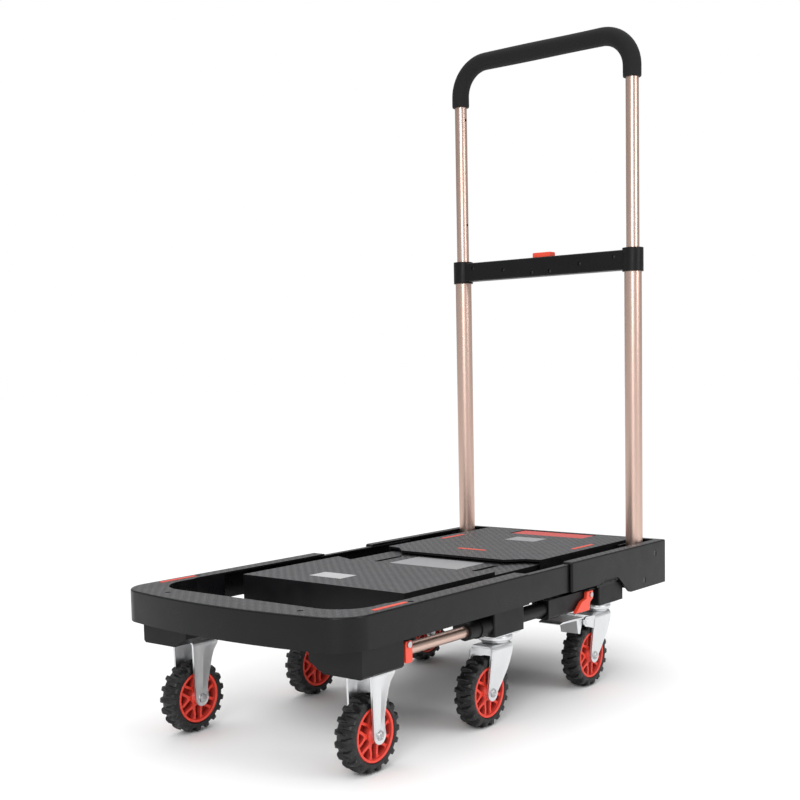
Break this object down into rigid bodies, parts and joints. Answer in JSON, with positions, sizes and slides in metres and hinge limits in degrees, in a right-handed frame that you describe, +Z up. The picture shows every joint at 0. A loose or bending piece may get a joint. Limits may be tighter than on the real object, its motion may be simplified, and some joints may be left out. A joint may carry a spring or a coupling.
{
  "type": "folding platform cart",
  "caption": "Telescoping platform hand cart: nesting deck frames, folding telescopic push handle, fixed front wheels and swivelling middle and rear casters with brakes.",
  "frame": {"origin": "on the floor, under the middle of the fully extended cart", "axes": "+X towards the front end of the deck, +Y to the left, +Z up the handle"},
  "size_m": [0.8319, 0.41, 1.047],
  "materials": {
    "black_plastic": "satin moulded black polypropylene",
    "deck_plastic": "black polypropylene with an embossed diamond anti-slip pattern",
    "red_plastic": "glossy red-orange moulded plastic",
    "hub_plastic": "red-orange nylon wheel centre",
    "tyre_rubber": "black treaded rubber",
    "anodised_tube": "rose-gold anodised aluminium",
    "foam": "matt black foam sleeve",
    "grey_plate": "plain light grey plate",
    "white_label": "plain white label",
    "zinc_steel": "zinc-plated pressed steel",
    "fastener_steel": "zinc-plated steel fasteners and pins",
    "glide_plastic": "grey acetal glide"
  },
  "bodies": {
    "rear_body": {"rear_frame": "black_plastic", "rear_deck_panel": "deck_plastic", "rear_deck_strips": "red_plastic", "rear_deck_plate": "grey_plate", "rear_caster_blocks": "black_plastic", "rear_guide_brackets": "black_plastic", "rear_swivel_plates": "zinc_steel", "rear_pivot_pins": "fastener_steel", "side_wall_screws": "fastener_steel"},
    "middle_body": {"middle_frame": "black_plastic", "middle_deck_panel": "deck_plastic", "middle_deck_plate": "grey_plate", "blank_label": "white_label", "middle_caster_blocks": "black_plastic", "middle_swivel_plates": "zinc_steel"},
    "front_body": {"front_frame": "black_plastic", "front_frame_strips": "red_plastic", "front_frame_screws": "fastener_steel", "front_caster_blocks": "black_plastic", "guide_tubes": "anodised_tube", "front_lever_pins": "fastener_steel", "front_forks": "zinc_steel", "front_axles": "fastener_steel"},
    "handle_lower": {"lower_tubes": "anodised_tube", "handle_knuckles": "black_plastic", "crossbar_front_shell": "black_plastic", "crossbar_rear_shell": "black_plastic", "crossbar_screws": "fastener_steel"},
    "handle_upper": {"upper_handle_tube": "anodised_tube", "foam_grip": "foam", "tube_glides": "glide_plastic"},
    "button": {"release_button": "red_plastic"},
    "pedal": {"handle_pedal": "red_plastic"},
    "rear_lever_left_body": {"rear_lever_left": "red_plastic"},
    "front_lever_left_body": {"front_lever_left": "red_plastic"},
    "rear_lever_right_body": {"rear_lever_right": "red_plastic"},
    "front_lever_right_body": {"front_lever_right": "red_plastic"},
    "rear_swivel_left": {"rear_fork_left": "zinc_steel", "rear_axle_left": "fastener_steel"},
    "rear_wheel_left": {"tyre_rear_left": "tyre_rubber", "hub_rear_left": "hub_plastic"},
    "brake_left": {"brake_pedal_left": "zinc_steel"},
    "rear_swivel_right": {"rear_fork_right": "zinc_steel", "rear_axle_right": "fastener_steel"},
    "rear_wheel_right": {"tyre_rear_right": "tyre_rubber", "hub_rear_right": "hub_plastic"},
    "brake_right": {"brake_pedal_right": "zinc_steel"},
    "middle_swivel_left": {"middle_fork_left": "zinc_steel", "middle_axle_left": "fastener_steel"},
    "middle_wheel_left": {"tyre_middle_left": "tyre_rubber", "hub_middle_left": "hub_plastic"},
    "middle_swivel_right": {"middle_fork_right": "zinc_steel", "middle_axle_right": "fastener_steel"},
    "middle_wheel_right": {"tyre_middle_right": "tyre_rubber", "hub_middle_right": "hub_plastic"},
    "front_wheel_left": {"tyre_front_left": "tyre_rubber", "hub_front_left": "hub_plastic"},
    "front_wheel_right": {"tyre_front_right": "tyre_rubber", "hub_front_right": "hub_plastic"}
  },
  "joints": [
    {"name": "middle_slide", "type": "slide", "parent": "rear_body", "child": "middle_body", "axis": [1, 0, 0], "range_m": [-0.06, 0]},
    {"name": "front_slide", "type": "slide", "parent": "middle_body", "child": "front_body", "axis": [1, 0, 0], "range_m": [-0.06, 0]},
    {"name": "handle_fold", "type": "hinge", "parent": "rear_body", "child": "handle_lower", "pos_m": [-0.3677, 0, 0.187], "axis": [0, 1, 0], "range_deg": [0, 85]},
    {"name": "handle_slide", "type": "slide", "parent": "handle_lower", "child": "handle_upper", "axis": [0, 0, 1], "range_m": [-0.262, 0]},
    {"name": "button_press", "type": "slide", "parent": "handle_lower", "child": "button", "axis": [0, 0, -1], "range_m": [0, 0.004], "stiffness_N_per_m": 300, "springref_m": -0.006},
    {"name": "pedal_press", "type": "hinge", "parent": "rear_body", "child": "pedal", "pos_m": [-0.396, 0, 0.201], "axis": [0, 1, 0], "range_deg": [0, 8], "stiffness_Nm_per_rad": 2, "springref_deg": -11.46},
    {"name": "rear_lever_left_turn", "type": "hinge", "parent": "rear_body", "child": "rear_lever_left_body", "pos_m": [-0.18, 0.1926, 0.153], "axis": [0, 1, 0], "range_deg": [-18, 0], "stiffness_Nm_per_rad": 0.4, "springref_deg": 17.19},
    {"name": "front_lever_left_turn", "type": "hinge", "parent": "front_body", "child": "front_lever_left_body", "pos_m": [0.2665, 0.1912, 0.157], "axis": [0, 1, 0], "range_deg": [0, 25], "stiffness_Nm_per_rad": 0.3, "springref_deg": -17.19},
    {"name": "rear_lever_right_turn", "type": "hinge", "parent": "rear_body", "child": "rear_lever_right_body", "pos_m": [-0.18, -0.1926, 0.153], "axis": [0, 1, 0], "range_deg": [-18, 0], "stiffness_Nm_per_rad": 0.4, "springref_deg": 17.19},
    {"name": "front_lever_right_turn", "type": "hinge", "parent": "front_body", "child": "front_lever_right_body", "pos_m": [0.2665, -0.1912, 0.157], "axis": [0, 1, 0], "range_deg": [0, 25], "stiffness_Nm_per_rad": 0.3, "springref_deg": -17.19},
    {"name": "rear_swivel_left_turn", "type": "hinge", "parent": "rear_body", "child": "rear_swivel_left", "pos_m": [-0.252, 0.1605, 0.112], "axis": [0, 0, 1], "continuous": true},
    {"name": "rear_wheel_left_spin", "type": "hinge", "parent": "rear_swivel_left", "child": "rear_wheel_left", "pos_m": [-0.218, 0.1605, 0.05], "axis": [0, 1, 0], "continuous": true},
    {"name": "brake_left_press", "type": "hinge", "parent": "rear_swivel_left", "child": "brake_left", "pos_m": [-0.194, 0.1605, 0.107], "axis": [0, 1, 0], "range_deg": [0, 8]},
    {"name": "rear_swivel_right_turn", "type": "hinge", "parent": "rear_body", "child": "rear_swivel_right", "pos_m": [-0.252, -0.1605, 0.112], "axis": [0, 0, 1], "continuous": true},
    {"name": "rear_wheel_right_spin", "type": "hinge", "parent": "rear_swivel_right", "child": "rear_wheel_right", "pos_m": [-0.218, -0.1605, 0.05], "axis": [0, 1, 0], "continuous": true},
    {"name": "brake_right_press", "type": "hinge", "parent": "rear_swivel_right", "child": "brake_right", "pos_m": [-0.194, -0.1605, 0.107], "axis": [0, 1, 0], "range_deg": [0, 8]},
    {"name": "middle_swivel_left_turn", "type": "hinge", "parent": "middle_body", "child": "middle_swivel_left", "pos_m": [0.029, 0.1605, 0.112], "axis": [0, 0, 1], "continuous": true},
    {"name": "middle_wheel_left_spin", "type": "hinge", "parent": "middle_swivel_left", "child": "middle_wheel_left", "pos_m": [0.063, 0.1605, 0.05], "axis": [0, 1, 0], "continuous": true},
    {"name": "middle_swivel_right_turn", "type": "hinge", "parent": "middle_body", "child": "middle_swivel_right", "pos_m": [0.029, -0.1605, 0.112], "axis": [0, 0, 1], "continuous": true},
    {"name": "middle_wheel_right_spin", "type": "hinge", "parent": "middle_swivel_right", "child": "middle_wheel_right", "pos_m": [0.063, -0.1605, 0.05], "axis": [0, 1, 0], "continuous": true},
    {"name": "front_wheel_left_spin", "type": "hinge", "parent": "front_body", "child": "front_wheel_left", "pos_m": [0.311, 0.1605, 0.05], "axis": [0, 1, 0], "continuous": true},
    {"name": "front_wheel_right_spin", "type": "hinge", "parent": "front_body", "child": "front_wheel_right", "pos_m": [0.311, -0.1605, 0.05], "axis": [0, 1, 0], "continuous": true}
  ]
}
